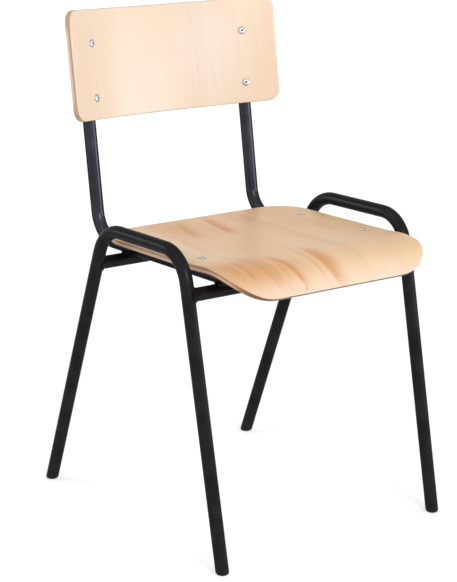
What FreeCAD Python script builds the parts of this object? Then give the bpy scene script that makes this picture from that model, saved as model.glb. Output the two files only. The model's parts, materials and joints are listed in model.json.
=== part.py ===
"""Stacking canteen chair: bent steel tube frame with a moulded plywood seat and backrest.

Millimetres. +Z is up, the chair faces -Y and the sitter's left is +X.
The origin is on the floor, under the middle of the overall box.
"""
import FreeCAD, Part
import math
import os
from FreeCAD import Placement, Rotation, Vector

# Tube stock
tube_diameter = 22.0
tube_wall = 1.5

# Side frames: each one tube, bent into front leg, rail and rear leg
front_leg_angle = 11.13         # lean from the vertical, foot forward
rear_leg_angle = 22.06          # lean from the vertical, foot backward
rail_length = 227.0             # between the two corners where the straights would meet
front_bend_radius = 58.0        # centre line of the bend
rear_bend_radius = 70.0
front_weld_room = 8.0           # straight leg left between cross tube and bend
rear_weld_room = 11.0
frame_splay_angle = 0.46        # each side frame leans out towards its rail
frame_toe_angle = 0.48          # each side frame turns in towards the rear
seat_side_gap = 12.3            # between the seat's edge and the side tubes

# Cross tubes, saddle cut to the legs
seat_height = 479.0             # top of the seat above the front cross tube
seat_drop = 1.6                 # fall from the front cross tube to the rear one
cope_nib = 2.5                  # blunting of the saddle cut's tips
leg_weld_depth = 2.2            # bead over the tubes' faces
leg_weld_reach = 2.4            # bead along a cross tube, from the face of the leg
crossing_weld_radius = 8.0
crossing_weld_root = 3.0        # unfilled middle of the weld between crossing tubes

# Seat and back tubes: each one tube, bent from seat bearer into upright
seat_tube_spacing = 330.0       # between the two tubes' centre lines
seat_tube_overhang = 6.0        # past the front cross tube
upright_lean_angle = 8.2        # back from the vertical
upright_bend_radius = 52.0
upright_top_margin = 30.0       # tube above the upper rivet

# Plywood
ply_thickness = 10.8
ply_edge_radius = 2.4           # rounding of both edges of a panel

# Moulded seat, drawn from its rear edge forward
seat_width = 402.0
seat_rear_overhang = 31.9       # past the rear cross tube
seat_flat_start = 38.5          # front end of the level part, behind the front cross tube
seat_rear_clearance = 4.0       # from the seat's rear edge to the upright's bend
seat_rise_radius = 600.0        # hollow sweep up to the crest
seat_rise_angle = 3.8
seat_crest_radius = 205.5       # gentle crest
seat_crest_angle = 8.9          # downward slope where the crest ends
seat_roll_radius = 82.4         # waterfall front
seat_roll_angle = 60.8          # downward slope at the front edge
seat_front_corner_radius = 75.0
seat_rear_corner_radius = 62.0

# Curved backrest
back_width = 454.5              # along the curve of its rear face
back_height = 186.6
back_bottom = 200.7             # along the upright from the corner of its bend
back_radius = 440.0             # rear face
back_corner_radius = 22.0

# Blind rivets
rivet_flange_diameter = 13.0
rivet_dome_height = 2.2
rivet_rim = 0.7                 # straight edge of the flange
rivet_shank_diameter = 6.4
rivet_hole_clearance = 0.1      # on the diameter
rivet_bulb_diameter = 9.2       # set end inside the tube
rivet_bulb_length = 6.0
rivet_core_diameter = 3.6       # bore of the rivet body
mandrel_clearance = 0.1         # on the diameter
mandrel_recess = 0.9            # broken end below the dome's top
mandrel_head_length = 1.6
seat_rivet_setback = 0.5        # front flanges behind the front end of the level part
seat_rivet_pitch = 163.0        # front row to rear row
back_rivet_inset = 36.6         # lower row above the panel's bottom edge
back_rivet_pitch = 92.3

# Plastic foot glides and tube plugs
foot_height = 9.0               # along the leg, floor to tube end
foot_edge_chamfer = 1.6
plug_head_thickness = 3.2
plug_edge_chamfer = 1.2
stem_length = 18.0
stem_clearance = 0.1            # on the diameter, over the barbs
barb_depth = 1.1
barb_count = 1

# Values that follow from the sizes above
tube_radius = tube_diameter / 2
bore_radius = tube_radius - tube_wall
seat_half = seat_width / 2
tube_x = seat_tube_spacing / 2
AXIS_X = Vector(1, 0, 0)
AXIS_Y = Vector(0, 1, 0)
AXIS_Z = Vector(0, 0, 1)
SIDES = {"left": 1, "right": -1}
ENDS = ("front", "rear")
PARALLEL = 0.999                # cosine above which two directions count as parallel

front_cross_height = seat_height - ply_thickness - tube_diameter - tube_radius
rear_cross_height = front_cross_height - seat_drop


def tangent(degrees):
    return math.tan(math.radians(degrees))


def cosine(degrees):
    return math.cos(math.radians(degrees))


def sine(degrees):
    return math.sin(math.radians(degrees))


def rail_height(cross_height, weld_room, bend_radius, leg_angle):
    """Height of the corner above a cross tube, where leg and rail would meet."""
    bend_run = bend_radius * tangent((90 - leg_angle) / 2) * cosine(leg_angle)
    return cross_height + tube_radius + weld_room + bend_run


rail_front_height = rail_height(front_cross_height, front_weld_room, front_bend_radius, front_leg_angle)
rail_rear_height = rail_height(rear_cross_height, rear_weld_room, rear_bend_radius, rear_leg_angle)


def side_point(side, y, z):
    """A point of a side frame's plane. The rail's front corner is at y = 0."""
    toe = (y - rail_length / 2) * tangent(frame_toe_angle)
    splay = (z - seat_height) * tangent(frame_splay_angle)
    return Vector(side * (seat_half + seat_side_gap + tube_radius - toe + splay), y, z)


def leg_point(side, end, z):
    """A point of a leg's centre line at a height."""
    if end == "front":
        return side_point(side, (z - rail_front_height) * tangent(front_leg_angle), z)
    return side_point(side, rail_length + (rail_rear_height - z) * tangent(rear_leg_angle), z)


def leg_direction(side, end):
    return (leg_point(side, end, front_cross_height) - leg_point(side, end, 0)).normalize()


def cross_point(end):
    """The middle of a cross tube's centre line."""
    height = front_cross_height if end == "front" else rear_cross_height
    point = leg_point(1, end, height)
    return Vector(0, point.y, point.z)


# Frame of the seat: its origin is on the seat tubes' centre line over the front cross tube,
# +Y runs back along the tubes and +Z is square to the seat.
bearer = cross_point("rear") - cross_point("front")
seat_slope = math.degrees(math.atan2(-bearer.z, bearer.y))
seat_turn = Rotation(AXIS_X, -seat_slope)
seat_frame = Placement(cross_point("front") + seat_turn.multVec(AXIS_Z) * tube_diameter, seat_turn)
rear_crossing_y = bearer.Length
tube_front_y = -tube_radius - seat_tube_overhang
seat_rear_y = rear_crossing_y + seat_rear_overhang
seat_top_z = tube_radius + ply_thickness

# Frame of the upright: its origin is at the corner of the bend and +Z runs up the upright.
upright_turn_angle = 90 - upright_lean_angle + seat_slope
upright_bend_run = upright_bend_radius * tangent(upright_turn_angle / 2)
corner_y = seat_rear_y + seat_rear_clearance + upright_bend_run
back_frame = Placement(seat_frame.multVec(Vector(0, corner_y, 0)), Rotation(AXIS_X, -upright_lean_angle))
back_rivet_heights = (back_bottom + back_rivet_inset, back_bottom + back_rivet_inset + back_rivet_pitch)
upright_length = back_rivet_heights[1] + upright_top_margin

# The backrest's rear face touches both uprights, so its centre of curvature follows from them.
back_centre_y = -math.sqrt((back_radius + tube_radius) ** 2 - tube_x ** 2)
back_half_angle = math.degrees(back_width / 2 / back_radius)
back_rivet_angle = math.degrees(math.asin(tube_x / (back_radius + tube_radius)))


def rounded_path(points, radii):
    """Straight runs through the points, joined by tangent arcs at the inner points."""
    edges = []
    start = points[0]
    for before, corner, after, radius in zip(points, points[1:], points[2:], radii):
        incoming = (before - corner).normalize()
        outgoing = (after - corner).normalize()
        half = incoming.getAngle(outgoing) / 2
        inward = (incoming + outgoing).normalize()
        run = radius / math.tan(half)
        entry = corner + incoming * run
        leave = corner + outgoing * run
        middle = corner + inward * (radius / math.sin(half) - radius)
        edges.append(Part.LineSegment(start, entry).toShape())
        edges.append(Part.Arc(entry, middle, leave).toShape())
        start = leave
    edges.append(Part.LineSegment(start, points[-1]).toShape())
    return Part.Wire(edges)


def bent_tube(points, radii):
    """A hollow tube along a rounded path."""
    path = rounded_path(points, radii)
    direction = points[1] - points[0]
    outer = Part.Wire(Part.Circle(points[0], direction, tube_radius).toShape())
    inner = Part.Wire(Part.Circle(points[0], direction, bore_radius).toShape())
    return path.makePipe(Part.Face([outer, inner]))


def rod(start, end, radius):
    return Part.makeCylinder(radius, (end - start).Length, start, end - start)


def turned(edges, base, direction):
    """A turned piece: a profile in the XZ plane, spun about Z, with Z laid along a direction."""
    shape = Part.Face(Part.Wire(edges)).revolve(Vector(), AXIS_Z, 360)
    shape.Placement = Placement(base, Rotation(AXIS_Z, direction))
    return shape


def polyline(points):
    return [Part.LineSegment(a, b).toShape() for a, b in zip(points, points[1:])]


def joined(shapes):
    """One solid from pieces that meet, with no seams left between their faces."""
    whole = shapes[0].fuse(shapes[1:]).removeSplitter()
    return whole.Solids[0]


def barbed_stem(base, direction):
    """The barbed stem that holds a plastic end piece in a tube's bore."""
    crest = bore_radius - stem_clearance / 2
    root = crest - barb_depth
    pitch = stem_length / (barb_count + 1)
    points = [Vector(0, 0, 0), Vector(root, 0, 0)]
    for index in range(1, barb_count + 1):
        points.append(Vector(root, 0, index * pitch))
        points.append(Vector(crest, 0, index * pitch))
        points.append(Vector(root, 0, (index + 1 / 2) * pitch))
    points += [Vector(root, 0, stem_length), Vector(0, 0, stem_length), Vector(0, 0, 0)]
    return turned(polyline(points), base, direction)


def tube_plug(tube_end, outward):
    """A plug with a flush, chamfered head and a barbed stem."""
    shoulder = tube_radius - plug_edge_chamfer
    low = plug_head_thickness - plug_edge_chamfer
    points = [Vector(0, 0, plug_head_thickness), Vector(), Vector(tube_radius, 0, 0), Vector(tube_radius, 0, low),
              Vector(shoulder, 0, plug_head_thickness), Vector(0, 0, plug_head_thickness)]
    head = turned(polyline(points), tube_end, outward)
    return joined([head, barbed_stem(tube_end, outward * -1)])


def foot_glide(side, end):
    """A glide that closes a leaning leg and stands flat on the floor."""
    foot = leg_point(side, end, 0)
    up = leg_direction(side, end)
    tube_end = foot + up * foot_height
    sole = rod(foot - up * tube_diameter, tube_end, tube_radius)
    depth = 2 * tube_diameter
    ground = Part.makeBox(2 * depth, 2 * depth, depth, foot - Vector(depth, depth, depth))
    sole = sole.cut(ground)
    rim = [edge for edge in sole.Edges if edge.BoundBox.ZMax < foot_edge_chamfer / 10]
    sole = sole.makeChamfer(foot_edge_chamfer, rim)
    return joined([sole, barbed_stem(tube_end, up)])


def side_frame(side):
    ends = [leg_point(side, end, 0) + leg_direction(side, end) * foot_height for end in ENDS]
    front_corner = side_point(side, 0, rail_front_height)
    rear_corner = side_point(side, rail_length, rail_rear_height)
    return bent_tube([ends[0], front_corner, rear_corner, ends[1]], [front_bend_radius, rear_bend_radius])


def leg_rod(side, end, radius):
    """A solid bar along a leg's centre line near its cross tube."""
    joint = leg_point(side, end, cross_point(end).z)
    reach = leg_direction(side, end) * (2 * tube_diameter)
    return rod(joint - reach, joint + reach, radius)


def cross_rod(end, radius):
    middle = cross_point(end)
    reach = AXIS_X * (leg_point(1, end, middle.z).x - cope_nib)
    return rod(middle - reach, middle + reach, radius)


def cross_tube(end):
    """A cross tube whose ends are saddle cut to sit on the legs."""
    tube = cross_rod(end, tube_radius).cut(cross_rod(end, bore_radius))
    return tube.cut([leg_rod(side, end, tube_radius) for side in SIDES.values()]).Solids[0]


def leg_weld(side, end):
    """A weld bead along the saddle line: what lies close to both tubes' faces and near the joint."""
    joint = leg_point(side, end, cross_point(end).z)
    radius = tube_radius + leg_weld_depth
    ball = Part.makeSphere(math.hypot(tube_radius, tube_radius + leg_weld_reach), joint)
    bead = cross_rod(end, radius).common(leg_rod(side, end, radius)).common(ball)
    return bead.cut([leg_rod(side, end, tube_radius), cross_rod(end, tube_radius)]).Solids[0]


def seat_rod(side):
    """The outside of a seat tube's straight part, as a solid bar."""
    start = seat_frame.multVec(Vector(side * tube_x, tube_front_y, 0))
    end = seat_frame.multVec(Vector(side * tube_x, seat_rear_y + seat_rear_clearance, 0))
    return rod(start, end, tube_radius)


def crossing_weld(side, end):
    """A weld round the point where a seat tube lies on a cross tube."""
    along = 0 if end == "front" else rear_crossing_y
    top = seat_frame.multVec(Vector(side * tube_x, along, 0))
    bottom = seat_frame.multVec(Vector(side * tube_x, along, -tube_diameter))
    pad = rod(bottom, top, crossing_weld_radius).cut(rod(bottom, top, crossing_weld_root))
    return pad.cut([seat_rod(side), cross_rod(end, tube_radius)]).Solids[0]


def seat_back_tube(side):
    """A tube that carries the seat, then bends up to carry the backrest."""
    x = side * tube_x
    start = seat_frame.multVec(Vector(x, tube_front_y, 0))
    corner = seat_frame.multVec(Vector(x, corner_y, 0))
    top = back_frame.multVec(Vector(x, 0, upright_length))
    return bent_tube([start, corner, top], [upright_bend_radius])


def slope_normal(degrees):
    """Upward normal of the seat, in its frame, where it slopes down to the front."""
    return Vector(0, -sine(degrees), cosine(degrees))


def seat_skin(depth):
    """The seat's side profile at a depth below its top skin, from rear to front."""
    rear = Vector(0, seat_rear_y, seat_top_z - depth)
    flat_end = Vector(0, seat_flat_start, seat_top_z - depth)
    rise_centre = Vector(0, seat_flat_start, seat_top_z + seat_rise_radius)
    rise = [rise_centre - slope_normal(-angle) * (seat_rise_radius + depth)
            for angle in (seat_rise_angle / 2, seat_rise_angle)]
    crest_centre = rise_centre - slope_normal(-seat_rise_angle) * (seat_rise_radius + seat_crest_radius)
    crest = [crest_centre + slope_normal(angle) * (seat_crest_radius - depth)
             for angle in ((seat_crest_angle - seat_rise_angle) / 2, seat_crest_angle)]
    roll_centre = crest_centre + slope_normal(seat_crest_angle) * (seat_crest_radius - seat_roll_radius)
    roll = [roll_centre + slope_normal(angle) * (seat_roll_radius - depth)
            for angle in ((seat_crest_angle + seat_roll_angle) / 2, seat_roll_angle)]
    edges = [Part.LineSegment(rear, flat_end).toShape(),
             Part.Arc(flat_end, rise[0], rise[1]).toShape(),
             Part.Arc(rise[1], crest[0], crest[1]).toShape(),
             Part.Arc(crest[1], roll[0], roll[1]).toShape()]
    return edges, rear, roll[1]


def seat_front_outline(front_edge):
    """The blank's front outline with its two rounded corners, as a prism square to the front edge."""
    inward = Vector(0, cosine(seat_roll_angle), sine(seat_roll_angle))
    normal = slope_normal(seat_roll_angle)
    corner = seat_front_corner_radius
    reach = seat_roll_radius * math.sin(corner / seat_roll_radius)
    span = 2 * (seat_rear_y + seat_width)
    base = front_edge + normal * (span / 4)
    edges = []
    for side in SIDES.values():
        centre = base + AXIS_X * (side * (seat_half - corner)) + inward * reach
        side_end = centre + AXIS_X * (side * corner)
        front_end = centre - inward * reach
        rounding = Part.Ellipse(side_end, front_end, centre)
        edges.append(Part.ArcOfEllipse(rounding, 0, math.pi / 2).toShape())
        far_end = base + AXIS_X * (side * seat_half) + inward * span
        edges.append(Part.LineSegment(side_end, far_end).toShape())
    left_front = base + AXIS_X * (seat_half - corner)
    right_front = base - AXIS_X * (seat_half - corner)
    edges.append(Part.LineSegment(left_front, right_front).toShape())
    left_far = base + AXIS_X * seat_half + inward * span
    edges.append(Part.LineSegment(left_far, left_far - AXIS_X * seat_width).toShape())
    outline = Part.Face(Part.Wire(Part.__sortEdges__(edges)))
    return outline.extrude(normal * -span)


def outline_edges(panel, is_skin):
    """Edges where a panel's large faces meet its edge band."""
    found = []
    for edge in panel.Edges:
        skins = [is_skin(face) for face in panel.ancestorsOfType(edge, Part.Face)]
        if skins.count(True) == 1 and skins.count(False) == 1:
            found.append(edge)
    return found


def is_seat_skin(face):
    surface = face.Surface
    if isinstance(surface, Part.Plane):
        return abs(surface.Axis.z) > PARALLEL
    return isinstance(surface, Part.Cylinder) and abs(surface.Axis.x) > PARALLEL


def is_back_skin(face):
    surface = face.Surface
    return isinstance(surface, Part.Cylinder) and abs(surface.Axis.z) > PARALLEL


def seat_rivet_places():
    """Points on the seat tubes' centre lines below each rivet, and the way its head faces."""
    front = seat_flat_start + rivet_flange_diameter / 2 + seat_rivet_setback
    places = []
    for along in (front, front + seat_rivet_pitch):
        for side in SIDES.values():
            places.append((Vector(side * tube_x, along, 0), AXIS_Z))
    return places


def back_rivet_places():
    """Points on the uprights' centre lines behind each rivet, and the way its head faces."""
    places = []
    for height in back_rivet_heights:
        for side in SIDES.values():
            head_way = Vector(-side * sine(back_rivet_angle), -cosine(back_rivet_angle), 0)
            places.append((Vector(side * tube_x, 0, height), head_way))
    return places


def rivet_holes(places):
    """Drills that pass through a panel and the near wall of its tube."""
    radius = (rivet_shank_diameter + rivet_hole_clearance) / 2
    length = tube_radius + 2 * ply_thickness
    return [Part.makeCylinder(radius, length, point, way) for point, way in places]


def moulded_seat():
    """Plywood seat in its own frame: level over the tubes, rolled down at the front."""
    top, rear_top, front_top = seat_skin(0)
    under, rear_under, front_under = seat_skin(ply_thickness)
    edges = top + under
    edges.append(Part.LineSegment(rear_top, rear_under).toShape())
    edges.append(Part.LineSegment(front_top, front_under).toShape())
    profile = Part.Face(Part.Wire(Part.__sortEdges__(edges)))
    profile.translate(AXIS_X * -seat_width)
    blank = profile.extrude(AXIS_X * (2 * seat_width))
    blank = blank.common(seat_front_outline(front_top)).Solids[0]
    corners = [edge for edge in blank.Edges
               if edge.BoundBox.YMin > seat_rear_y - ply_edge_radius
               and edge.BoundBox.XLength < ply_edge_radius]
    blank = blank.makeFillet(seat_rear_corner_radius, corners)
    blank = blank.makeFillet(ply_edge_radius, outline_edges(blank, is_seat_skin))
    return blank.cut(rivet_holes(seat_rivet_places())).Solids[0]


def curved_backrest():
    """Plywood backrest in the upright's frame: a bent panel with rounded corners."""
    centre = Vector(0, back_centre_y, 0)
    turn = Rotation(AXIS_Z, back_half_angle)
    inner = back_radius - ply_thickness
    corners = [Vector(0, inner, back_bottom), Vector(0, back_radius, back_bottom),
               Vector(0, back_radius, back_bottom + back_height), Vector(0, inner, back_bottom + back_height)]
    corners = [centre + turn.multVec(corner) for corner in corners]
    section = Part.Face(Part.makePolygon(corners + corners[:1]))
    panel = section.revolve(centre, AXIS_Z, -2 * back_half_angle)
    radial = [edge for edge in panel.Edges
              if isinstance(edge.Curve, Part.Line) and edge.BoundBox.ZLength < ply_edge_radius]
    panel = panel.makeFillet(back_corner_radius, radial)
    panel = panel.makeFillet(ply_edge_radius, outline_edges(panel, is_back_skin))
    return panel.cut(rivet_holes(back_rivet_places())).Solids[0]


def rivet_body(point, way, tube_way):
    """A set blind rivet: domed flange and shank, and a bulb spread against the tube's bore."""
    shank = rivet_shank_diameter / 2
    core = rivet_core_diameter / 2
    flange = rivet_flange_diameter / 2
    bulb = rivet_bulb_diameter / 2
    bulb_low = bore_radius - rivet_bulb_length
    rim_z = seat_top_z + rivet_rim
    dome_z = seat_top_z + rivet_dome_height
    shoulder = Vector((core + flange) / 2, 0, dome_z - (dome_z - rim_z) / 4)
    points = [Vector(core, 0, dome_z), Vector(core, 0, bulb_low), Vector(shank, 0, bulb_low),
              Vector(shank, 0, seat_top_z), Vector(flange, 0, seat_top_z), Vector(flange, 0, rim_z)]
    edges = polyline(points)
    edges.append(Part.Arc(points[-1], shoulder, points[0]).toShape())
    shaft = turned(edges, point, way)
    spread = [Vector(core, 0, bulb_low), Vector(shank, 0, bulb_low), Vector(bulb, 0, bulb_low + bulb - shank),
              Vector(bulb, 0, tube_radius), Vector(core, 0, tube_radius), Vector(core, 0, bulb_low)]
    bore = rod(point - tube_way * tube_diameter, point + tube_way * tube_diameter, bore_radius)
    return joined([shaft, turned(polyline(spread), point, way).common(bore)])


def rivet_mandrel(point, way):
    """The mandrel left in a set rivet, with its head under the bulb."""
    stem = (rivet_core_diameter - mandrel_clearance) / 2
    head = rivet_shank_diameter / 2
    top = seat_top_z + rivet_dome_height - mandrel_recess
    bulb_low = tube_radius - tube_wall - rivet_bulb_length
    points = [Vector(0, 0, top), Vector(0, 0, bulb_low - mandrel_head_length),
              Vector(head, 0, bulb_low - mandrel_head_length), Vector(head, 0, bulb_low),
              Vector(stem, 0, bulb_low), Vector(stem, 0, top), Vector(0, 0, top)]
    return turned(polyline(points), point, way)


def placed(shape, frame):
    moved = shape.copy()
    moved.Placement = frame.multiply(moved.Placement)
    return moved


def build():
    """All pieces by name."""
    nodes = {}
    seat_local = moulded_seat()
    back_local = curved_backrest()
    seat_drills = [placed(drill, seat_frame) for drill in rivet_holes(seat_rivet_places())]
    back_drills = [placed(drill, back_frame) for drill in rivet_holes(back_rivet_places())]

    for name, side in SIDES.items():
        nodes[name + "_side_frame"] = side_frame(side)
        tube = seat_back_tube(side).cut(seat_drills + back_drills).Solids[0]
        nodes[name + "_seat_back_tube"] = tube
        upright_top = back_frame.multVec(Vector(side * tube_x, 0, upright_length))
        nodes[name + "_upright_plug"] = tube_plug(upright_top, back_frame.Rotation.multVec(AXIS_Z))
        tube_front = seat_frame.multVec(Vector(side * tube_x, tube_front_y, 0))
        nodes[name + "_seat_tube_plug"] = tube_plug(tube_front, seat_frame.Rotation.multVec(AXIS_Y * -1))
        for end in ENDS:
            nodes[end + "_" + name + "_foot_glide"] = foot_glide(side, end)
            nodes[end + "_" + name + "_leg_weld"] = leg_weld(side, end)
            nodes[end + "_" + name + "_crossing_weld"] = crossing_weld(side, end)
    for end in ENDS:
        nodes[end + "_cross_tube"] = cross_tube(end)
    nodes["plywood_seat"] = placed(seat_local, seat_frame)
    nodes["plywood_backrest"] = placed(back_local, back_frame)

    for label, places, tube_way, frame in (
            ("seat", seat_rivet_places(), AXIS_Y, seat_frame),
            ("backrest", back_rivet_places(), AXIS_Z, back_frame)):
        bodies = [rivet_body(point, way, tube_way) for point, way in places]
        if label == "backrest":
            # The flanges bed into the hollow front face
            bodies = [body.cut(back_local).Solids[0] for body in bodies]
        mandrels = [rivet_mandrel(point, way) for point, way in places]
        nodes[label + "_rivet_bodies"] = placed(Part.makeCompound(bodies), frame)
        nodes[label + "_rivet_mandrels"] = placed(Part.makeCompound(mandrels), frame)
    return nodes


def main():
    nodes = build()
    box = Part.makeCompound(list(nodes.values())).optimalBoundingBox(False, False)
    shift = Vector(-box.Center.x, -box.Center.y, 0)
    os.makedirs("parts", exist_ok=True)
    for name, shape in nodes.items():
        shape.translate(shift)
        shape.exportStep(os.path.join("parts", name + ".step"))


main()
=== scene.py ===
"""Studio picture of a canteen chair: lacquered beech plywood on a black steel tube frame.

Metres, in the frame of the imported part: +Z up, the chair faces -Y and the origin is on the floor.
"""
import json
import math
from collections import namedtuple

import bmesh
import bpy
from mathutils import Color, Matrix, Vector


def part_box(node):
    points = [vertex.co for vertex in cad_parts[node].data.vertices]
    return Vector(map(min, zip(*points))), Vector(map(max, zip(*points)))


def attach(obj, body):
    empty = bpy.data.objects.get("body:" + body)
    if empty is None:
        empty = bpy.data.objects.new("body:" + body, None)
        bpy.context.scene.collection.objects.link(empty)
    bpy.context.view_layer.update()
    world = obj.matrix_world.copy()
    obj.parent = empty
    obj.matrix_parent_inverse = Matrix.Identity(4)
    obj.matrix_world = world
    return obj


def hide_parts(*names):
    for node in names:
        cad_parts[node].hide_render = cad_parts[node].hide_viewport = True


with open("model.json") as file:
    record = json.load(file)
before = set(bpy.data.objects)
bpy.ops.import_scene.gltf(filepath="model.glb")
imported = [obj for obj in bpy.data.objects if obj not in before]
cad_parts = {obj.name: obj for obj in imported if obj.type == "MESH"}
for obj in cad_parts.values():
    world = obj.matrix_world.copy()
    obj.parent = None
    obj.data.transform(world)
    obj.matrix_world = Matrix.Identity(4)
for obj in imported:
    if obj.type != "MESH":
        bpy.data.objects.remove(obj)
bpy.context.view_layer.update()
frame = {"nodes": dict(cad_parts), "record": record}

# Sizes of the chair, as in the part's source or worked out from it
TUBE_RADIUS = 0.011
PLY = 0.0108                    # thickness of a panel
ARRIS = 0.0024                  # rounding of a panel's edges

SEAT_WIDTH = 0.402
SEAT_FLAT_START = 0.0385        # behind the front cross tube
SEAT_FLAT = 0.260
SEAT_RISE = (0.600, 3.8)        # radius, and angle in degrees
SEAT_CREST = (0.2055, 12.7)
SEAT_ROLL = (0.0824, 51.9)
SEAT_FRONT_CORNER = 0.075
SEAT_REAR_CORNER = 0.062
SEAT_REAR_CLEARANCE = 0.004

UPRIGHT_LEAN = 8.2              # degrees back from the vertical
UPRIGHT_BEND = 0.052
UPRIGHT_X = 0.165
BACK_WIDTH = 0.4545
BACK_HEIGHT = 0.1866
BACK_BOTTOM = 0.2007            # up the upright from the corner of its bend
BACK_RADIUS = 0.440             # rear face
BACK_CORNER = 0.022

RIVET_FLANGE = 0.0065           # radius
RIVET_RIM = 0.0007              # height, as is the dome
RIVET_DOME = 0.0022
RIVET_SHANK = 0.0032            # radius
RIVET_CORE = 0.0018             # radius
RIVET_BULB = 0.0046             # radius, inside the tube
RIVET_BULB_TOP = -0.0138        # from the panel's face
RIVET_BULB_LOW = -0.0183
MANDREL_RADIUS = 0.00175
MANDREL_RECESS = 0.0009
MANDREL_HEAD = 0.0016           # length
SEAT_RIVET_FRONT = 0.0455       # behind the front cross tube
SEAT_RIVET_PITCH = 0.163
BACK_RIVET_INSET = 0.0366       # above the lower edge
BACK_RIVET_PITCH = 0.0923

FRONT_LEG_LEAN = 11.13          # degrees from the vertical
REAR_LEG_LEAN = 22.06
FRAME_SPLAY = 0.46
FRAME_TOE = 0.48
FOOT_HEIGHT = 0.009             # along the leg, floor to tube end
STEM_RADIUS = 0.0083
STEM_LENGTH = 0.018

# Forms that only the picture has. Pairs are shares of a radius and of a height.
PANEL_TRIM = 0.0001             # off a panel's length, which keeps it inside the CAD panel
FOOT_ROUNDING = 0.0050          # edge of a sole
RIVET_MOUTH = ((1.0, 0.80), (1.08, 0.94))               # of the core and the dome
RIVET_EDGE = ((0.98, 1.0), (1.0, 0.75), (1.0, 0.0))     # of the flange and the rim
MANDREL_TEAR = ((1.0, 0.72), (0.88, 0.90), (0.55, 1.0), (0.28, 0.93), (0.0, 0.97))

# Fineness of the meshes
CORNER_STEPS = 14
ROW_STEP = 0.006
COLUMNS = 72
ARRIS_STEPS = 6
MERGE = 1e-7                    # points closer than this are one
TURN_STEPS = 40
DOME_STEPS = 8
ROUNDING_STEPS = 6
SHARP = math.radians(40)        # an edge that turns more than this is crisp

# Photographed view: fitted to the legs, rails, panels and rivets
VIEW_AZIMUTH = -36.491          # degrees
VIEW_ELEVATION = 14.371
VIEW_DISTANCE = 3.098
VIEW_TARGET_BACK = 0.17826      # behind the front cross tube
VIEW_TARGET_HEIGHT = 0.400
LENS = 112.52                   # millimetres, as is the sensor
SENSOR = 36.0
SHIFT_X = -0.01352
SHIFT_Y = -0.02954

# Studio
FLOOR_SIZE = 40.0
FLOOR_GLOW = (0.50, 0.72)       # near the chair, and far from it
FLOOR_GLOW_SPAN = (0.6, 3.0)    # distances from the origin
FLOOR_ROUGHNESS = 0.9
AMBIENT = 0.48
LAMP_AIM = (0.0, 0.05, 0.6)
WINDOW_AIM = (0.0, 0.2, 0.75)
WINDOW_TINT = (0.72, 0.84, 1.0)

# Values for shaders
SCREEN_WHITE = 255
BLACK = (0.0, 0.0, 0.0, 1.0)
WHITE = (1.0, 1.0, 1.0, 1.0)
UNIT = (0.0, 1.0)               # from none to all
FADING = (1.0, 0.0)             # from all to none
MIDDLE = 0.5                    # of the range from 0 to 1
NOISE_SPAN = (0.3, 0.7)         # the part of a noise's range that it mostly fills
MIX_FACTOR = 0                  # sockets of a Mix node for colours
MIX_FIRST = 6
MIX_SECOND = 7
MIX_RESULT = 2

# Finishes of metal and plastic. Sheen is the metallic share of the powder coat.
COAT_SPECULAR = 0.13
COAT_ROUGHNESS = (0.26, 0.32)
LEG_SHEEN = 0.5
UPRIGHT_SHEEN = 0.85
WELD_ROUGHNESS = (0.34, 0.44)
PLASTIC_SPECULAR = 0.16
PLASTIC_ROUGHNESS = (0.52, 0.66)
PLASTIC_SCUFF_SPAN = (0.45, 0.75)
RIVET_ROUGHNESS = (0.28, 0.42)
RIVET_SCRATCH_SCALE = (5200.0, 2600.0, 1.5)
RIVET_RIM_PAINTED_SHADE = (0.86, 0.99)  # painted shade at the rim, in shares of the flange's radius
RIVET_CORE_PAINTED_SHADE = (1.0, 1.35)  # painted shade round the core, in shares of the core's radius
MANDREL_ROUGHNESS = (0.45, 0.62)
MANDREL_BREAK_SPAN = (0.35, 0.65)

# Plies at a panel's edge
PLY_COUNT = 7
PLY_REPEAT = 2.0                # every second ply lies across the others
GLUE_SPAN = (0.38, 0.49)        # from a ply's middle, in plies: from wood to glue
FACE_SPAN = (0.0009, 0.0005)    # depths from either face: from plies to the face's veneer
PLY_LINE_DEPTH = 0.0036             # a brown line in the plies below the face, darkened further as painted shade on the edges
PLY_LINE_REACH = 0.00252            # to either side of that depth
PLY_LINE_STRENGTH = 0.9
END_GRAIN = (0.050, 0.012)      # from a panel's ends, where its edges darken and where they are darkest

# Figure of the veneer. Scales: repeats per metre across the grain, along it and in depth.
FIBRE_SCALE = (1300.0, 26.0, 60.0)
FIBRE_SPAN = (0.50, 0.78)
FIBRE_STRENGTH = (0.0, 0.40)
STREAK_SCALE = (120.0, 2.4, 30.0)
STREAK_SPAN = (0.50, 0.74)
STREAK_STRENGTH = (0.0, 0.45)
BAND_SCALE = (24.0, 1.6, 20.0)
CLOUD_SCALE = (9.0, 5.0, 20.0)
FLECK_SCALE = (950.0, 150.0, 60.0)
FLECK_SPAN = (0.62, 0.80)
FLECK_STRENGTH = (0.0, 0.55)
TONE_SPAN = (0.34, 0.66)        # of bands and clouds, from the light colour to the dark one
TONE_BAND_SHARE = 0.6
FLAME_WANDER = 0.012            # sideways, over the whole range of its noise
FLAME_START = (0.0, 0.3)        # shares of a flame's length
FLAME_END = (0.75, 1.0)
PATCH_TEAR_SPAN = (0.8, 1.2)    # of streaks and clouds added up
PATCH_TEAR = 0.55               # share of a patch's strength that is left where it is torn
EYE_STRENGTH = (0.16, 0.0)
RIVET_SHADOW_SPAN = (1.0, 1.12)        # painted shadow round a rivet, in flange radii
RIVET_SHADOW_STRENGTH = (0.35, 0.0)
GLOSS_FIBRE_SHARE = 0.5
LACQUER_ROUGHNESS = (0.36, 0.46)

Row = namedtuple("Row", "along half outward")
Arc = namedtuple("Arc", "length curve")


def middle(node):
    low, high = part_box(node)
    return (low + high) / 2


def slope_of(degrees):
    return math.tan(math.radians(degrees))


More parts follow.
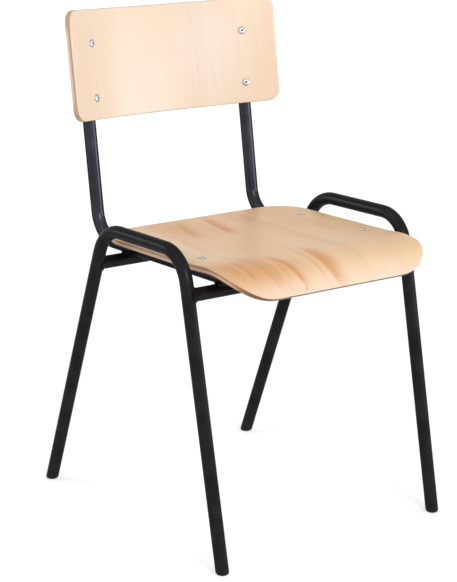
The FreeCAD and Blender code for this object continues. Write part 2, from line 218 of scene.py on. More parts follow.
def quarter_turn(steps):
    """Angles from 0 to a right angle."""
    return [math.pi / 2 * step / steps for step in range(steps + 1)]


front_cross = middle("front_cross_tube")
rear_cross = middle("rear_cross_tube")


# Shader nodes

def connect(tree, node, sockets):
    """Gives a node's sockets their values or links."""
    for key, value in sockets.items():
        if isinstance(value, bpy.types.NodeSocket):
            tree.links.new(value, node.inputs[key])
        else:
            node.inputs[key].default_value = value


def put(tree, kind, settings, sockets, output=0):
    """Adds a node, with its settings and its sockets' values or links, and gives one of its outputs."""
    node = tree.nodes.new(kind)
    for key, value in settings.items():
        setattr(node, key, value)
    connect(tree, node, sockets)
    return node.outputs[output]


def in_order(*values):
    """Values for a node's first sockets."""
    return dict(enumerate(values))


def maths(tree, operation, first, second=0.0, third=0.0):
    return put(tree, "ShaderNodeMath", {"operation": operation}, in_order(first, second, third))


def product(tree, first, *others):
    for other in others:
        first = maths(tree, "MULTIPLY", first, other)
    return first


def apart(tree, first, second):
    """How far two values are apart."""
    return maths(tree, "ABSOLUTE", maths(tree, "SUBTRACT", first, second))


def weighed(tree, first, second, share):
    """A share of the first value and the rest of the second."""
    return maths(tree, "ADD", product(tree, first, share), product(tree, second, 1 - share))


def stretched(tree, vector, scale):
    return put(tree, "ShaderNodeVectorMath", {"operation": "MULTIPLY"}, in_order(vector, scale))


def split(tree, vector):
    node = tree.nodes.new("ShaderNodeSeparateXYZ")
    connect(tree, node, in_order(vector))
    return node.outputs


def noise(tree, vector, scale=1.0, detail=2.0, roughness=0.5, distortion=0.0):
    return put(tree, "ShaderNodeTexNoise", {}, {"Vector": vector, "Scale": scale, "Detail": detail,
                                                "Roughness": roughness, "Distortion": distortion})


def spread(tree, value, span, to=UNIT):
    """Maps a span to another, smoothly and without passing its ends."""
    return put(tree, "ShaderNodeMapRange", {"interpolation_type": "SMOOTHSTEP"}, in_order(value, *span, *to))


def mixed(tree, factor, first, second):
    return put(tree, "ShaderNodeMix", {"data_type": "RGBA"},
               {MIX_FACTOR: factor, MIX_FIRST: first, MIX_SECOND: second}, output=MIX_RESULT)


def bump(tree, height, strength, distance):
    return put(tree, "ShaderNodeBump", {}, {"Height": height, "Strength": strength, "Distance": distance})


def shade(red, green, blue):
    """A colour given as it looks on screen, 0 to 255."""
    seen = Color((red / SCREEN_WHITE, green / SCREEN_WHITE, blue / SCREEN_WHITE))
    return (*seen.from_srgb_to_scene_linear(), 1.0)


def new_material(name):
    material = bpy.data.materials.new(name)
    material.use_nodes = True
    tree = material.node_tree
    return material, tree, tree.nodes["Principled BSDF"]


def place_on_piece(tree):
    return put(tree, "ShaderNodeTexCoord", {}, {}, output="Object")


def stored_place(tree, attribute):
    """A place kept with the mesh. grain: across, along and depth. turning: radius, height and angle."""
    return put(tree, "ShaderNodeAttribute", {"attribute_name": attribute}, {}, output="Vector")


# Metal and plastic

def powder_coat(name, dark, light, sheen):
    """Satin black powder coat: faint orange peel and uneven gloss."""
    material, tree, shader = new_material(name)
    place = place_on_piece(tree)
    peel = noise(tree, place, scale=900.0, detail=1.0)
    cloud = noise(tree, place, scale=26.0, detail=3.0)
    connect(tree, shader, {
        "Base Color": mixed(tree, spread(tree, cloud, NOISE_SPAN), dark, light),
        "Metallic": sheen,
        "Roughness": spread(tree, cloud, NOISE_SPAN, COAT_ROUGHNESS),
        "Specular IOR Level": COAT_SPECULAR,
        "Specular Tint": BLACK,
        "Normal": bump(tree, peel, strength=0.04, distance=0.0001),
    })
    return material


def weld_coat():
    """Powder coat over a weld: the bead's ripples show through it."""
    material, tree, shader = new_material("powder_coated_weld")
    place = place_on_piece(tree)
    ripple = noise(tree, place, scale=420.0, detail=2.0, distortion=0.6)
    cloud = noise(tree, place, scale=60.0, detail=2.0)
    connect(tree, shader, {
        "Base Color": mixed(tree, spread(tree, cloud, NOISE_SPAN), shade(30, 30, 33), shade(38, 38, 42)),
        "Metallic": LEG_SHEEN,
        "Roughness": spread(tree, ripple, NOISE_SPAN, WELD_ROUGHNESS),
        "Specular IOR Level": COAT_SPECULAR,
        "Specular Tint": BLACK,
        "Normal": bump(tree, ripple, strength=0.5, distance=0.0006),
    })
    return material


def black_plastic():
    """Moulded black plastic with a fine grain and scuffs."""
    material, tree, shader = new_material("moulded_black_plastic")
    place = place_on_piece(tree)
    grain = noise(tree, place, scale=1500.0, detail=2.0)
    scuff = noise(tree, place, scale=140.0, detail=4.0, roughness=0.65)
    colour = mixed(tree, spread(tree, scuff, PLASTIC_SCUFF_SPAN), shade(18, 18, 20), shade(28, 28, 30))
    connect(tree, shader, {
        "Base Color": colour,
        "Roughness": spread(tree, scuff, NOISE_SPAN, PLASTIC_ROUGHNESS),
        "Specular IOR Level": PLASTIC_SPECULAR,
        "Normal": bump(tree, grain, strength=0.15, distance=0.0001),
    })
    return material


def rivet_metal(name, dull, bright):
    """Plain aluminium: bright where it was pressed, with painted shade at the rim and round the core."""
    material, tree, shader = new_material(name)
    turning = stored_place(tree, "turning")
    radius = split(tree, turning)[0]
    scratch = noise(tree, stretched(tree, turning, RIVET_SCRATCH_SCALE), detail=3.0)
    cloud = noise(tree, place_on_piece(tree), scale=320.0, detail=2.0)
    colour = mixed(tree, spread(tree, cloud, NOISE_SPAN), dull, bright)
    # Painted shade: the flange's rim darkened where it meets the veneer.
    rim = spread(tree, radius, [RIVET_FLANGE * share for share in RIVET_RIM_PAINTED_SHADE])
    colour = mixed(tree, rim, colour, shade(138, 134, 132))
    # Painted shade: darker round the core, at the mouth of the bore.
    core = spread(tree, radius, [RIVET_CORE * share for share in RIVET_CORE_PAINTED_SHADE], FADING)
    colour = mixed(tree, core, colour, shade(92, 90, 90))
    connect(tree, shader, {
        "Base Color": colour,
        "Metallic": 1.0,
        "Roughness": spread(tree, scratch, NOISE_SPAN, RIVET_ROUGHNESS),
        "Normal": bump(tree, scratch, strength=0.12, distance=0.00006),
    })
    return material


def mandrel_steel():
    """Broken end of a steel mandrel, rough and dark; its colour is also painted shade of the rivet's recess.
    """
    material, tree, shader = new_material("broken_steel")
    tear = noise(tree, place_on_piece(tree), scale=2200.0, detail=4.0)
    # Painted shade: the steel is kept darker than bare steel, for the shade in the recess.
    colour = mixed(tree, spread(tree, tear, MANDREL_BREAK_SPAN), shade(38, 38, 41), shade(84, 84, 88))
    connect(tree, shader, {
        "Base Color": colour,
        "Metallic": 1.0,
        "Roughness": spread(tree, tear, NOISE_SPAN, MANDREL_ROUGHNESS),
        "Normal": bump(tree, tear, strength=0.4, distance=0.0002),
    })
    return material


# Beech veneer

def ply_edges(tree, along, depth, length, face_colour, colours):
    """The face veneer's colour, and below it the plies that show at a panel's edge, dark at its ends."""
    layer = product(tree, depth, PLY_COUNT / PLY)
    crossed = maths(tree, "FLOORED_MODULO", maths(tree, "FLOOR", layer), PLY_REPEAT)
    plies = mixed(tree, crossed, colours["long_ply"], colours["cross_ply"])
    glue = spread(tree, apart(tree, maths(tree, "FRACT", layer), MIDDLE), GLUE_SPAN)
    plies = mixed(tree, glue, plies, colours["glue"])
    # A brown line in the plies below the face, darkened further as painted shade on the edges.
    ply_line_and_shade = spread(tree, apart(tree, depth, PLY_LINE_DEPTH), (0.0, PLY_LINE_REACH), (PLY_LINE_STRENGTH, 0.0))
    plies = mixed(tree, ply_line_and_shade, plies, colours["ply_line_and_shade"])
    ends = spread(tree, apart(tree, along, length / 2), [length / 2 - reach for reach in END_GRAIN])
    plies = mixed(tree, ends, plies, colours["end_grain"])
    face = spread(tree, apart(tree, depth, PLY / 2), [PLY / 2 - reach for reach in FACE_SPAN])
    return mixed(tree, face, plies, face_colour)


def oval_distance(tree, across, along, centre, size):
    """Distance from an oval's centre, 1 on its outline."""
    sideways = maths(tree, "DIVIDE", maths(tree, "SUBTRACT", across, centre[0]), size[0])
    lengthways = maths(tree, "DIVIDE", maths(tree, "SUBTRACT", along, centre[1]), size[1])
    squares = maths(tree, "ADD", product(tree, sideways, sideways), product(tree, lengthways, lengthways))
    return maths(tree, "SQRT", squares)


def patch(tree, across, along, centre, size):
    """A soft oval mask on the veneer, 1 in its middle."""
    return spread(tree, oval_distance(tree, across, along, centre, size), UNIT, FADING)


def flame(tree, across, along, wander, route, sharp, soft):
    """A mask along a bowed growth line: crisp towards -X, fading towards +X and at both ends."""
    start, bow, end = route
    way = put(tree, "ShaderNodeMapRange", {}, in_order(along, start[1], end[1], *UNIT))
    straight = maths(tree, "MULTIPLY_ADD", way, end[0] - start[0], start[0])
    # A parabola through both ends, as high as the bow in the middle
    bulge = product(tree, way, maths(tree, "SUBTRACT", 1.0, way), bow / MIDDLE ** 2)
    line = maths(tree, "ADD", straight, maths(tree, "ADD", bulge, wander))
    beside = maths(tree, "SUBTRACT", across, line)
    crisp = spread(tree, beside, (-sharp, 0.0))
    fading = spread(tree, beside, (0.0, soft), FADING)
    return product(tree, crisp, fading, spread(tree, way, FLAME_START), spread(tree, way, FLAME_END, FADING))


def beech(name, colours, lacquer, length, rivets, patches=(), flames=(), knots=(), eyes=()):
    """Clear lacquered beech veneer: fibres, streaks, flecks, warm patches and growth lines."""
    material, tree, shader = new_material(name)
    grain = stored_place(tree, "grain")
    across, along, depth = split(tree, grain)

    fibre = noise(tree, stretched(tree, grain, FIBRE_SCALE), detail=3.0)
    streak = noise(tree, stretched(tree, grain, STREAK_SCALE), detail=3.0, distortion=0.4)
    band = noise(tree, stretched(tree, grain, BAND_SCALE), detail=2.0, distortion=0.8)
    cloud = noise(tree, stretched(tree, grain, CLOUD_SCALE), detail=2.0)
    fleck = noise(tree, stretched(tree, grain, FLECK_SCALE), detail=1.0)
    wander = product(tree, maths(tree, "SUBTRACT", band, MIDDLE), FLAME_WANDER)

    tone = weighed(tree, band, cloud, TONE_BAND_SHARE)
    colour = mixed(tree, spread(tree, tone, TONE_SPAN), colours["light"], colours["dark"])
    colour = mixed(tree, spread(tree, streak, STREAK_SPAN, STREAK_STRENGTH), colour, colours["streak"])

    for centre, size, strength, tint in patches:
        strengths = (PATCH_TEAR * strength, strength)
        torn = spread(tree, maths(tree, "ADD", streak, cloud), PATCH_TEAR_SPAN, strengths)
        mask = product(tree, patch(tree, across, along, centre, size), torn)
        colour = mixed(tree, mask, colour, colours[tint])
    for route, sharp, soft, strength in flames:
        mask = product(tree, flame(tree, across, along, wander, route, sharp, soft), strength)
        colour = mixed(tree, mask, colour, colours["flame"])
    for centre, size, width in eyes:
        from_ring = apart(tree, oval_distance(tree, across, along, centre, size), 1.0)
        colour = mixed(tree, spread(tree, from_ring, (0.0, width), EYE_STRENGTH), colour, colours["flame"])

    colour = mixed(tree, spread(tree, fibre, FIBRE_SPAN, FIBRE_STRENGTH), colour, colours["fibre"])
    colour = mixed(tree, spread(tree, fleck, FLECK_SPAN, FLECK_STRENGTH), colour, colours["fleck"])
    for centre, size in knots:
        colour = mixed(tree, patch(tree, across, along, centre, size), colour, colours["knot"])
    # Painted shadow: a dark ring on the veneer round each rivet's flange.
    for centre in rivets:
        from_rivet = oval_distance(tree, across, along, centre, (RIVET_FLANGE, RIVET_FLANGE))
        colour = mixed(tree, spread(tree, from_rivet, RIVET_SHADOW_SPAN, RIVET_SHADOW_STRENGTH), colour, colours["rivet_shadow"])

    gloss = weighed(tree, fibre, cloud, GLOSS_FIBRE_SHARE)
    connect(tree, shader, {
        "Base Color": ply_edges(tree, along, depth, length, colour, colours),
        "Roughness": spread(tree, gloss, NOISE_SPAN, LACQUER_ROUGHNESS),
        "Specular IOR Level": lacquer["specular"],
        "Coat Weight": lacquer["coat"],
        "Coat Roughness": lacquer["haze"],
        "Normal": bump(tree, fibre, strength=0.05, distance=0.0001),
    })
    return material


SEAT_COLOURS = {
    "light": shade(246, 211, 171), "dark": shade(240, 199, 154), "streak": shade(233, 187, 140),
    "pale": shade(250, 224, 204), "warm": shade(223, 160, 102), "flame": shade(214, 138, 76),
    "fibre": shade(230, 191, 150), "fleck": shade(216, 168, 126), "knot": shade(92, 52, 34),
    "rivet_shadow": shade(120, 92, 72), "long_ply": shade(246, 212, 178), "cross_ply": shade(232, 190, 152),
    "glue": shade(212, 166, 128), "ply_line_and_shade": shade(174, 122, 88), "end_grain": shade(146, 101, 72),
}
SEAT_LACQUER = {"specular": 0.20, "coat": 0.06, "haze": 0.30}
BACK_COLOURS = {
    "light": shade(245, 218, 190), "dark": shade(242, 212, 182), "streak": shade(239, 208, 178),
    "pale": shade(249, 230, 215), "flame": shade(226, 188, 160), "fibre": shade(241, 213, 190),
    "fleck": shade(233, 201, 175), "rivet_shadow": shade(128, 102, 84), "long_ply": shade(248, 227, 208),
    "cross_ply": shade(240, 214, 192), "glue": shade(228, 199, 174), "ply_line_and_shade": shade(182, 136, 102),
    "end_grain": shade(206, 168, 136),
}
BACK_LACQUER = {"specular": 0.40, "coat": 0.42, "haze": 0.23}

# Marks in the veneer, in metres: across from the panel's middle, and along from the seat's rear edge
# or the backrest's lower edge.
# A patch: centre, half size, strength and tint. A flame: its start, sideways bow and end, its crisp
# and soft width, and its strength. A knot: centre and half size. An eye: a ring's centre and half
# size, and its width as a share of that.
SEAT_PATCHES = (
    ((-0.170, 0.160), (0.110, 0.260), 0.50, "pale"),
    ((0.060, 0.080), (0.170, 0.240), 0.30, "warm"),
    ((-0.150, 0.350), (0.110, 0.080), 1.25, "warm"),
    ((-0.104, 0.368), (0.044, 0.050), 0.55, "warm"),
    ((-0.066, 0.366), (0.036, 0.044), 0.60, "warm"),
    ((-0.004, 0.358), (0.034, 0.070), 0.60, "warm"),
    ((-0.080, 0.060), (0.055, 0.120), 0.60, "warm"),
    ((-0.020, 0.100), (0.034, 0.070), 0.55, "warm"),
    ((0.052, 0.042), (0.062, 0.056), 0.36, "warm"),
    ((0.120, 0.340), (0.120, 0.060), 0.30, "warm"),
    # A pale band across the whole front roll: painted sheen where the roll catches the light.
    ((0.000, 0.428), (0.500, 0.064), 1.00, "pale"),
)
SEAT_FLAMES = (
    (((-0.095, 0.305), 0.001, (-0.070, 0.418)), 0.0010, 0.018, 0.70),
    (((-0.002, 0.280), -0.008, (-0.003, 0.430)), 0.0050, 0.030, 0.55),
    (((-0.012, 0.240), -0.010, (-0.026, 0.420)), 0.0020, 0.014, 0.30),
    (((0.004, 0.000), 0.002, (-0.030, 0.150)), 0.0070, 0.030, 0.78),
    (((-0.050, 0.000), -0.002, (-0.096, 0.150)), 0.0050, 0.020, 0.46),
    (((-0.150, 0.250), 0.004, (-0.118, 0.420)), 0.0030, 0.026, 0.30),
    (((-0.120, 0.020), 0.006, (-0.150, 0.260)), 0.0030, 0.018, 0.22),
    (((0.040, 0.150), 0.006, (0.060, 0.400)), 0.0020, 0.016, 0.16),
    (((0.150, 0.060), -0.006, (0.120, 0.300)), 0.0020, 0.018, 0.14),
)
SEAT_KNOTS = (((-0.0705, 0.4115), (0.0014, 0.0045)),)
SEAT_EYES = (
    ((0.086, 0.080), (0.028, 0.046), 0.16),
    ((0.088, 0.074), (0.046, 0.082), 0.10),
)
BACK_PATCHES = (((0.095, 0.100), (0.105, 0.160), 0.95, "pale"),)
BACK_FLAMES = (
    (((0.070, -0.010), 0.004, (0.060, 0.200)), 0.0006, 0.0026, 0.30),
    (((0.112, -0.010), 0.004, (0.084, 0.130)), 0.0006, 0.0030, 0.24),
    (((0.150, 0.040), 0.010, (0.140, 0.200)), 0.0006, 0.0026, 0.26),
    (((0.190, 0.000), 0.006, (0.176, 0.200)), 0.0006, 0.0030, 0.28),
    (((-0.170, -0.010), 0.003, (-0.160, 0.210)), 0.0008, 0.0050, 0.16),
)


# Meshes and pieces

def finished_mesh(name, points, faces, place=None):
    """A new piece with merged points, outward faces and crisp edges.

    place is the name of an attribute to keep with it, and a value of that for each point.
    """
    mesh = bpy.data.meshes.new(name)
    mesh.from_pydata(points, [], faces)
    if place:
        attribute, values = place
        mesh.attributes.new(attribute, "FLOAT_VECTOR", "POINT")
        mesh.attributes[attribute].data.foreach_set("vector", [part for value in values for part in value])
    shape = bmesh.new()
    shape.from_mesh(mesh)
    bmesh.ops.remove_doubles(shape, verts=shape.verts, dist=MERGE)
    bmesh.ops.recalc_face_normals(shape, faces=shape.faces)
    shape.to_mesh(mesh)
    shape.free()
    mesh.polygons.foreach_set("use_smooth", [True] * len(mesh.polygons))
    mesh.set_sharp_from_angle(angle=SHARP)
    piece = bpy.data.objects.new(name, mesh)
    bpy.context.collection.objects.link(piece)
    return piece


def show(piece, node, material):
    """Shows a piece in place of a CAD node."""
    piece.data.materials.append(material)
    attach(piece, "root")
    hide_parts(node)


# Plywood panels, bent from a flat outline with rounded corners

def panel_rows(length, half_width, start_corner, end_corner):
    """Rows across a panel's face inside its arris: place along it, half width and outward direction."""
    start = ARRIS
    end = length - ARRIS
    half = half_width - ARRIS
    first = start_corner - ARRIS
    last = end_corner - ARRIS
    turns = quarter_turn(CORNER_STEPS)
    rows = [Row(start + first * (1 - math.cos(turn)), half - first * (1 - math.sin(turn)),
                (math.sin(turn), -math.cos(turn))) for turn in turns]
    straight = end - last - (start + first)
    count = max(1, round(straight / ROW_STEP))
    rows += [Row(start + first + straight * step / count, half, (1.0, 0.0)) for step in range(1, count)]
    rows += [Row(end - last * (1 - math.cos(turn)), half - last * (1 - math.sin(turn)),
                 (math.sin(turn), math.cos(turn))) for turn in reversed(turns)]
    return rows


def edge_profile():
    """Steps round a panel's edge, from the face to the back: how far out and how deep."""
    turns = quarter_turn(ARRIS_STEPS)
    face_side = [(ARRIS * math.sin(turn), ARRIS * (1 - math.cos(turn))) for turn in turns[1:]]
    back_side = [(ARRIS * math.cos(turn), PLY - ARRIS * (1 - math.sin(turn))) for turn in turns[:-1]]
    return face_side + back_side


def panel_mesh(name, length, width, start_corner, end_corner, bend):
    """A plywood panel as quads. bend places a point of the flat panel: across, along and depth."""
    rows = panel_rows(length, width / 2, start_corner, end_corner)
    across_steps = [2 * step / COLUMNS - 1 for step in range(COLUMNS + 1)]
    face = [(row.half * step, row.along) for row in rows for step in across_steps]
    flat = [(across, along, depth) for depth in (0.0, PLY) for across, along in face]
    under = len(face)
    last_row = len(rows) - 1
    faces = []

    def at(row, column):
        return row * len(across_steps) + column

    for row in range(last_row):
        for column in range(COLUMNS):
            corners = [at(row, column), at(row, column + 1), at(row + 1, column + 1), at(row + 1, column)]
            faces.append(corners[::-1])
            faces.append([under + corner for corner in corners])

    # Points once round the face, each with its way out
    rim = [(at(0, column), (0.0, -1.0)) for column in range(COLUMNS)]
    rim += [(at(row, COLUMNS), rows[row].outward) for row in range(last_row)]
    rim += [(at(last_row, column), (0.0, 1.0)) for column in range(COLUMNS, 0, -1)]
    rim += [(at(row, 0), (-rows[row].outward[0], rows[row].outward[1])) for row in range(last_row, 0, -1)]
    edge = [point[0] for point in rim]
    rings = [edge]
    for out, depth in edge_profile():
        rings.append(range(len(flat), len(flat) + len(rim)))
        flat += [(face[point][0] + way[0] * out, face[point][1] + way[1] * out, depth) for point, way in rim]
    rings.append([under + point for point in edge])
    for upper, lower in zip(rings, rings[1:]):
        for step in range(len(rim)):
            after = (step + 1) % len(rim)
            faces.append([upper[step], upper[after], lower[after], lower[step]])
    return finished_mesh(name, [bend(*point) for point in flat], faces, ("grain", flat))


def bent(radius, degrees, way):
    return Arc(radius * math.radians(degrees), way / radius)


seat_slope = math.atan2(front_cross.z - rear_cross.z, rear_cross.y - front_cross.y)
seat_turn = Matrix.Rotation(-seat_slope, 3, "X")
seat_origin = front_cross + seat_turn @ Vector((0, 0, 2 * TUBE_RADIUS))
seat_arcs = (Arc(SEAT_FLAT, 0.0), bent(*SEAT_RISE, -1), bent(*SEAT_CREST, 1), bent(*SEAT_ROLL, 1))
seat_length = sum(arc.length for arc in seat_arcs)


def seat_profile(along):
    """Place and downward slope of the seat's top face, at a distance from its rear edge."""
    back = SEAT_FLAT_START + SEAT_FLAT
    height = TUBE_RADIUS + PLY
    slope = 0.0
    left = along
    for length, curve in seat_arcs:
        run = min(left, length)
        turned = slope + curve * run
        if curve:
            back -= (math.sin(turned) - math.sin(slope)) / curve
            height += (math.cos(turned) - math.cos(slope)) / curve
        else:
            back -= run
        slope = turned
        left -= run
    return back, height, slope


def bend_seat(across, along, depth):
    """along runs forward from the rear edge; depth goes down from the top face."""
    back, height, slope = seat_profile(along)
    local = Vector((across, back + depth * math.sin(slope), height - depth * math.cos(slope)))
    return seat_origin + seat_turn @ local


back_turn = Matrix.Rotation(-math.radians(UPRIGHT_LEAN), 3, "X")
upright_run = UPRIGHT_BEND * math.tan((math.pi / 2 - math.radians(UPRIGHT_LEAN) + seat_slope) / 2)
corner_back = SEAT_FLAT_START + SEAT_FLAT + SEAT_REAR_CLEARANCE + upright_run
back_origin = seat_origin + seat_turn @ Vector((0, corner_back, 0))
back_centre = -math.sqrt((BACK_RADIUS + TUBE_RADIUS) ** 2 - UPRIGHT_X ** 2)


def bend_backrest(across, along, depth):
    """along runs up from the lower edge; depth goes back from the hollow front face."""
    turn = across / BACK_RADIUS
    reach = BACK_RADIUS - PLY + depth
    local = Vector((reach * math.sin(turn), back_centre + reach * math.cos(turn), BACK_BOTTOM + along))
    return back_origin + back_turn @ local


def build_panels():
    seat = panel_mesh("seat_panel", seat_length - PANEL_TRIM, SEAT_WIDTH, SEAT_REAR_CORNER,
                      SEAT_FRONT_CORNER, bend_seat)
    seat_veneer = beech("seat_beech", SEAT_COLOURS, SEAT_LACQUER, seat_length, seat_rivet_marks(),
                        SEAT_PATCHES, SEAT_FLAMES, SEAT_KNOTS, SEAT_EYES)
    show(seat, "plywood_seat", seat_veneer)
    back = panel_mesh("backrest_panel", BACK_HEIGHT - PANEL_TRIM, BACK_WIDTH, BACK_CORNER,
                      BACK_CORNER, bend_backrest)
    back_veneer = beech("backrest_beech", BACK_COLOURS, BACK_LACQUER, BACK_HEIGHT, back_rivet_marks(),
                        BACK_PATCHES, BACK_FLAMES)
    show(back, "plywood_backrest", back_veneer)


# Blind rivets: places on the flat panels, and the turned heads

def seat_rivet_marks():
    front = SEAT_FLAT_START + SEAT_FLAT - SEAT_RIVET_FRONT
    return [(side * UPRIGHT_X, along) for along in (front, front - SEAT_RIVET_PITCH) for side in (1, -1)]


def back_rivet_marks():
    across = BACK_RADIUS * math.asin(UPRIGHT_X / (BACK_RADIUS + TUBE_RADIUS))
    heights = (BACK_RIVET_INSET, BACK_RIVET_INSET + BACK_RIVET_PITCH)
    return [(side * across, along) for along in heights for side in (1, -1)]


def rivet_places(marks, bend):
    """A point on the panel's face and the way out of it, for each rivet."""
    places = []
    for across, along in marks:
        face = bend(across, along, 0.0)
        places.append((face, (face - bend(across, along, PLY)).normalized()))
    return places


def body_profile():
    """A set rivet from the foot of its bore, over the dome, round the rim and down to the bulb."""
    profile = [(RIVET_CORE, RIVET_BULB_LOW)]
    profile += [(RIVET_CORE * wide, RIVET_DOME * high) for wide, high in RIVET_MOUTH]
    for step in range(1, DOME_STEPS):
        share = step / DOME_STEPS
        radius = RIVET_CORE + (RIVET_FLANGE - RIVET_CORE) * share
        profile.append((radius, RIVET_DOME - (RIVET_DOME - RIVET_RIM) * share ** 2))
    profile += [(RIVET_FLANGE * wide, RIVET_RIM * high) for wide, high in RIVET_EDGE]
    profile += [(RIVET_SHANK, 0.0), (RIVET_SHANK, RIVET_BULB_TOP), (RIVET_BULB, RIVET_BULB_TOP)]
    profile += [(RIVET_BULB, RIVET_BULB_LOW), profile[0]]
    return profile


def mandrel_profile():
    """A mandrel from the middle of its head to the middle of its broken end."""
    low = RIVET_BULB_LOW - MANDREL_HEAD
    top = RIVET_DOME - MANDREL_RECESS
    head = [(0.0, low), (RIVET_SHANK, low), (RIVET_SHANK, RIVET_BULB_LOW), (MANDREL_RADIUS, RIVET_BULB_LOW)]
    return head + [(MANDREL_RADIUS * wide, top * high) for wide, high in MANDREL_TEAR]


def turned_mesh(name, profile, places):
    """Turned pieces in one mesh, one at each place; profile points are radius and height."""
    points = []
    turnings = []
    faces = []
    for origin, axis in places:
        turn = axis.to_track_quat("Z", "Y")
        first = len(points)
        for step in range(TURN_STEPS):
            angle = 2 * math.pi * step / TURN_STEPS
            for radius, height in profile:
                local = Vector((radius * math.cos(angle), radius * math.sin(angle), height))
                points.append(origin + turn @ local)
                turnings.append((radius, height, angle))
        for step in range(TURN_STEPS):
            here = first + step * len(profile)
            there = first + (step + 1) % TURN_STEPS * len(profile)
            for level in range(len(profile) - 1):
                faces.append([here + level, here + level + 1, there + level + 1, there + level])
    return finished_mesh(name, points, faces, ("turning", turnings))


def build_rivets():
    steel = mandrel_steel()
    # One aluminium in two copies, painted lighter on the seat and darker on the backrest, for how light falls
    # on each.
    seat_metal = rivet_metal("aluminium_painted_lighter", shade(200, 199, 201), shade(226, 225, 227))
    back_metal = rivet_metal("aluminium_painted_darker", shade(178, 176, 177), shade(208, 206, 207))
    for panel, marks, bend, metal in (("seat", seat_rivet_marks(), bend_seat, seat_metal),
                                      ("backrest", back_rivet_marks(), bend_backrest, back_metal)):
        places = rivet_places(marks, bend)
        for part, profile, material, slot in (("bodies", body_profile(), metal, "rivet"),
                                              ("mandrels", mandrel_profile(), steel, "mandrel")):
            piece = turned_mesh(f"{panel}_rivet_{part}_heads", profile, places)
            show(piece, f"{panel}_rivet_{part}", material)


# Foot glides with rounded soles

def foot_mesh(name, foot, axis):
    """A glide from its sole on the floor to the end of its stem in the leg."""
    across = axis.cross(Vector((0, 1, 0))).normalized()
    forward = axis.cross(across)
    angles = [2 * math.pi * step / TURN_STEPS for step in range(TURN_STEPS)]
    spokes = [across * math.cos(angle) + forward * math.sin(angle) for angle in angles]
    points = []
    for turn in quarter_turn(ROUNDING_STEPS):
        radius = TUBE_RADIUS - FOOT_ROUNDING * (1 - math.sin(turn))
        height = FOOT_ROUNDING * (1 - math.cos(turn))
        for spoke in spokes:
            along = (height - spoke.z * radius) / axis.z
            points.append(foot + spoke * radius + axis * along)
    for radius, along in ((TUBE_RADIUS, FOOT_HEIGHT), (STEM_RADIUS, FOOT_HEIGHT),
                          (STEM_RADIUS, FOOT_HEIGHT + STEM_LENGTH)):
        points += [foot + axis * along + spoke * radius for spoke in spokes]
    faces = [list(range(TURN_STEPS)), list(range(len(points) - TURN_STEPS, len(points)))]
    for first in range(0, len(points) - TURN_STEPS, TURN_STEPS):
        for step in range(TURN_STEPS):
            after = (step + 1) % TURN_STEPS
            faces.append([first + step, first + after, first + TURN_STEPS + after, first + TURN_STEPS + step])
    return finished_mesh(name, points, faces)


def build_feet(plastic):
    slopes = {"front": slope_of(FRONT_LEG_LEAN), "rear": -slope_of(REAR_LEG_LEAN)}
    splay = slope_of(FRAME_SPLAY)
    toe = slope_of(FRAME_TOE)
    feet = {mount["name"]: mount["pos_m"] for mount in frame["record"]["mounts"]}
    for end, slope in slopes.items():
        for side, way in (("left", 1), ("right", -1)):
            axis = Vector((way * (splay - slope * toe), slope, 1.0)).normalized()
            foot = f"{end}_{side}_foot"
            piece = foot_mesh(f"{foot}_sole", Vector(feet[foot]), axis)
            show(piece, f"{foot}_glide", plastic)


# Frame, welds and plugs: the CAD nodes with their finishes

def finish_nodes(plastic):
    legs = powder_coat("satin_black_powder_coat", shade(34, 34, 36), shade(42, 42, 45), LEG_SHEEN)
    # Painted light: the uprights get a lighter copy of the same coat, for the brighter light they reflect.
    uprights = powder_coat("black_powder_coat_painted_lighter", shade(51, 51, 56), shade(60, 60, 66), UPRIGHT_SHEEN)
    weld = weld_coat()
    for entry in frame["record"]["subparts"]:
        name = entry["node"]
        node = frame["nodes"][name]
        if entry["material_slot"] == "plastic_black":
            finish = plastic
        elif entry["material_slot"] != "frame_black":
            continue
        elif name.endswith("weld"):
            finish = weld
        elif name.endswith("seat_back_tube"):
            finish = uprights
        else:
            finish = legs
        node.data.materials.clear()
        node.data.materials.append(finish)


# Studio

def seen_white(tree):
    """1 for rays that show the background itself: to the camera, in reflections and through glass."""
    path = tree.nodes.new("ShaderNodeLightPath").outputs
    shown = maths(tree, "MAXIMUM", path["Is Camera Ray"], path["Is Glossy Ray"])
    return maths(tree, "MAXIMUM", shown, path["Is Transmission Ray"])


def studio_floor():
    """Pale floor that shows white, apart from the chair's soft shadow, and is clear from below."""
    bpy.ops.mesh.primitive_plane_add(size=FLOOR_SIZE)
    floor = bpy.context.object
    floor.name = "studio_floor"
    material, tree, shader = new_material("white_floor")
    place = place_on_piece(tree)
    tone = noise(tree, place, scale=3.0)
    far = put(tree, "ShaderNodeVectorMath", {"operation": "LENGTH"}, in_order(place), output="Value")
    glow = spread(tree, far, FLOOR_GLOW_SPAN, FLOOR_GLOW)
    connect(tree, shader, {
        "Base Color": mixed(tree, tone, shade(226, 226, 226), shade(230, 230, 230)),
        "Roughness": FLOOR_ROUGHNESS,
        "Specular IOR Level": 0.0,
        "Emission Color": WHITE,
        "Emission Strength": product(tree, seen_white(tree), glow),
    })
    below = put(tree, "ShaderNodeNewGeometry", {}, {}, output="Backfacing")
    clear = put(tree, "ShaderNodeBsdfTransparent", {}, {})
    surface = put(tree, "ShaderNodeMixShader", {}, in_order(below, shader.outputs[0], clear))
    connect(tree, tree.nodes["Material Output"], {"Surface": surface})
    floor.data.materials.append(material)


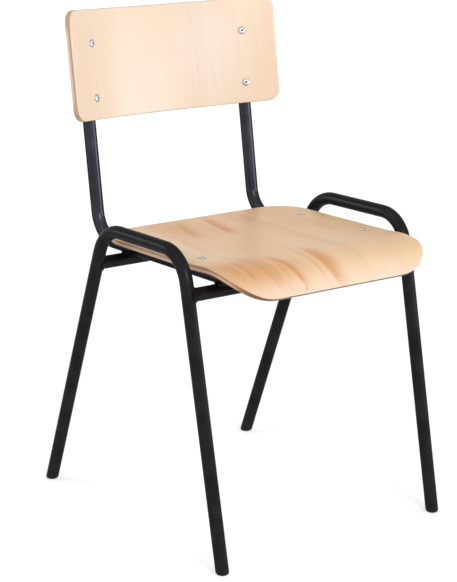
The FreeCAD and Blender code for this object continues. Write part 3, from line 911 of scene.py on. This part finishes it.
def studio_world():
    """White as a background, a softer level as ambient light."""
    world = bpy.data.worlds.new("studio")
    bpy.context.scene.world = world
    world.use_nodes = True
    tree = world.node_tree
    level = maths(tree, "MULTIPLY_ADD", seen_white(tree), 1 - AMBIENT, AMBIENT)
    connect(tree, tree.nodes["Background"], {"Color": WHITE, "Strength": level})


def softbox(name, place, aim, size, power, colour=(1.0, 1.0, 1.0)):
    light = bpy.data.lights.new(name, "AREA")
    light.shape = "RECTANGLE"
    light.size = size[0]
    light.size_y = size[1]
    light.energy = power
    light.color = colour
    lamp = bpy.data.objects.new(name, light)
    bpy.context.collection.objects.link(lamp)
    lamp.location = place
    lamp.rotation_euler = (Vector(place) - Vector(aim)).to_track_quat("Z", "Y").to_euler()


def studio_lights():
    softbox("key", place=(-0.45, -3.05, 2.0), aim=LAMP_AIM, size=(1.0, 1.0), power=43.0)
    softbox("window", place=(1.74, -1.54, 0.75), aim=WINDOW_AIM, size=(1.4, 0.54), power=18.0,
            colour=WINDOW_TINT)
    softbox("top", place=(-1.3, 0.1, 2.4), aim=LAMP_AIM, size=(1.2, 0.5), power=4.2)
    softbox("rear", place=(-1.85, 2.3, 1.2), aim=LAMP_AIM, size=(0.9, 0.9), power=17.0)


def photo_camera():
    azimuth = math.radians(VIEW_AZIMUTH)
    elevation = math.radians(VIEW_ELEVATION)
    back = Vector((math.sin(azimuth) * math.cos(elevation), -math.cos(azimuth) * math.cos(elevation),
                   math.sin(elevation)))
    target = Vector((0.0, front_cross.y + VIEW_TARGET_BACK, VIEW_TARGET_HEIGHT))
    data = bpy.data.cameras.new("photo_camera")
    data.sensor_width = SENSOR
    data.lens = LENS
    data.shift_x = SHIFT_X
    data.shift_y = SHIFT_Y
    camera = bpy.data.objects.new("photo_camera", data)
    bpy.context.collection.objects.link(camera)
    camera.location = target + back * VIEW_DISTANCE
    camera.rotation_euler = back.to_track_quat("Z", "Y").to_euler()
    bpy.context.scene.camera = camera


build_panels()
build_rivets()
moulded_plastic = black_plastic()
build_feet(moulded_plastic)
finish_nodes(moulded_plastic)
studio_floor()
studio_world()
studio_lights()
photo_camera()
bpy.context.scene.view_settings.view_transform = "Standard"
